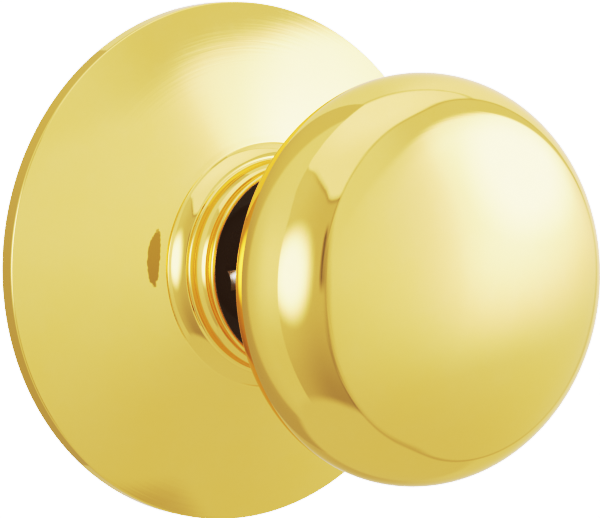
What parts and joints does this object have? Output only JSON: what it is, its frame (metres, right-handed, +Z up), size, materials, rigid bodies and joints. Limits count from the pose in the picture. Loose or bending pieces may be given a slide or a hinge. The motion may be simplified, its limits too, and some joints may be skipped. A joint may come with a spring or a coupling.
{
  "type": "passage door knob with rose",
  "caption": "Round polished brass door knob on a conical rose with a stepped collar, with its catch, return spring cage, mounting plate and square spindle.",
  "frame": {"origin": "on the knob's axis, in the plane of the door's face, which the rose's rim and the mounting plate rest on", "axes": "+Y along the knob's axis into the door, so the knob stands out along -Y; +Z up; +X to the right of a person facing the knob"},
  "size_m": [0.073, 0.107, 0.073],
  "materials": {
    "polished_brass": "mirror-polished and lacquered brass",
    "cast_zinc": "die-cast zinc, fine sandy skin",
    "zinc_plated_steel": "pressed steel with bright zinc plating",
    "bright_steel": "smooth bright steel",
    "spring_steel": "dark tempered spring steel",
    "black_nylon": "moulded black nylon, slightly satin"
  },
  "bodies": {
    "mounting": {"rose": "polished_brass", "mounting_plate": "zinc_plated_steel", "spring_cage": "zinc_plated_steel", "cage_cover": "zinc_plated_steel", "shank_bushing": "black_nylon", "thrust_washer": "black_nylon", "wave_washer": "spring_steel", "return_spring": "spring_steel", "cage_rivet_1": "bright_steel", "cage_rivet_2": "bright_steel", "cage_rivet_3": "bright_steel", "cage_rivet_4": "bright_steel", "rose_clip_1": "spring_steel", "rose_clip_2": "spring_steel", "rose_clip_3": "spring_steel", "clip_rivet_1": "bright_steel", "clip_rivet_2": "bright_steel", "clip_rivet_3": "bright_steel", "through_screw_top": "bright_steel", "through_screw_bottom": "bright_steel"},
    "knob": {"knob_face_shell": "polished_brass", "knob_back_shell": "polished_brass", "knob_core": "cast_zinc", "knob_shank": "zinc_plated_steel", "drive_sleeve": "zinc_plated_steel", "drive_hub": "cast_zinc", "spindle": "zinc_plated_steel", "retaining_ring": "spring_steel", "catch_spring": "spring_steel"},
    "catch": {"knob_catch": "bright_steel"}
  },
  "joints": [
    {"name": "knob_turn", "type": "hinge", "parent": "mounting", "child": "knob", "pos_m": [0, 0, 0], "axis": [0, 1, 0], "range_deg": [-55, 55], "stiffness_Nm_per_rad": 0.35, "deforming": ["return_spring"]},
    {"name": "catch_press", "type": "slide", "parent": "knob", "child": "catch", "axis": [0.9799, 0, 0.1994], "range_m": [0, 0.002], "stiffness_N_per_m": 400, "springref_m": -0.002, "deforming": ["catch_spring"]}
  ]
}
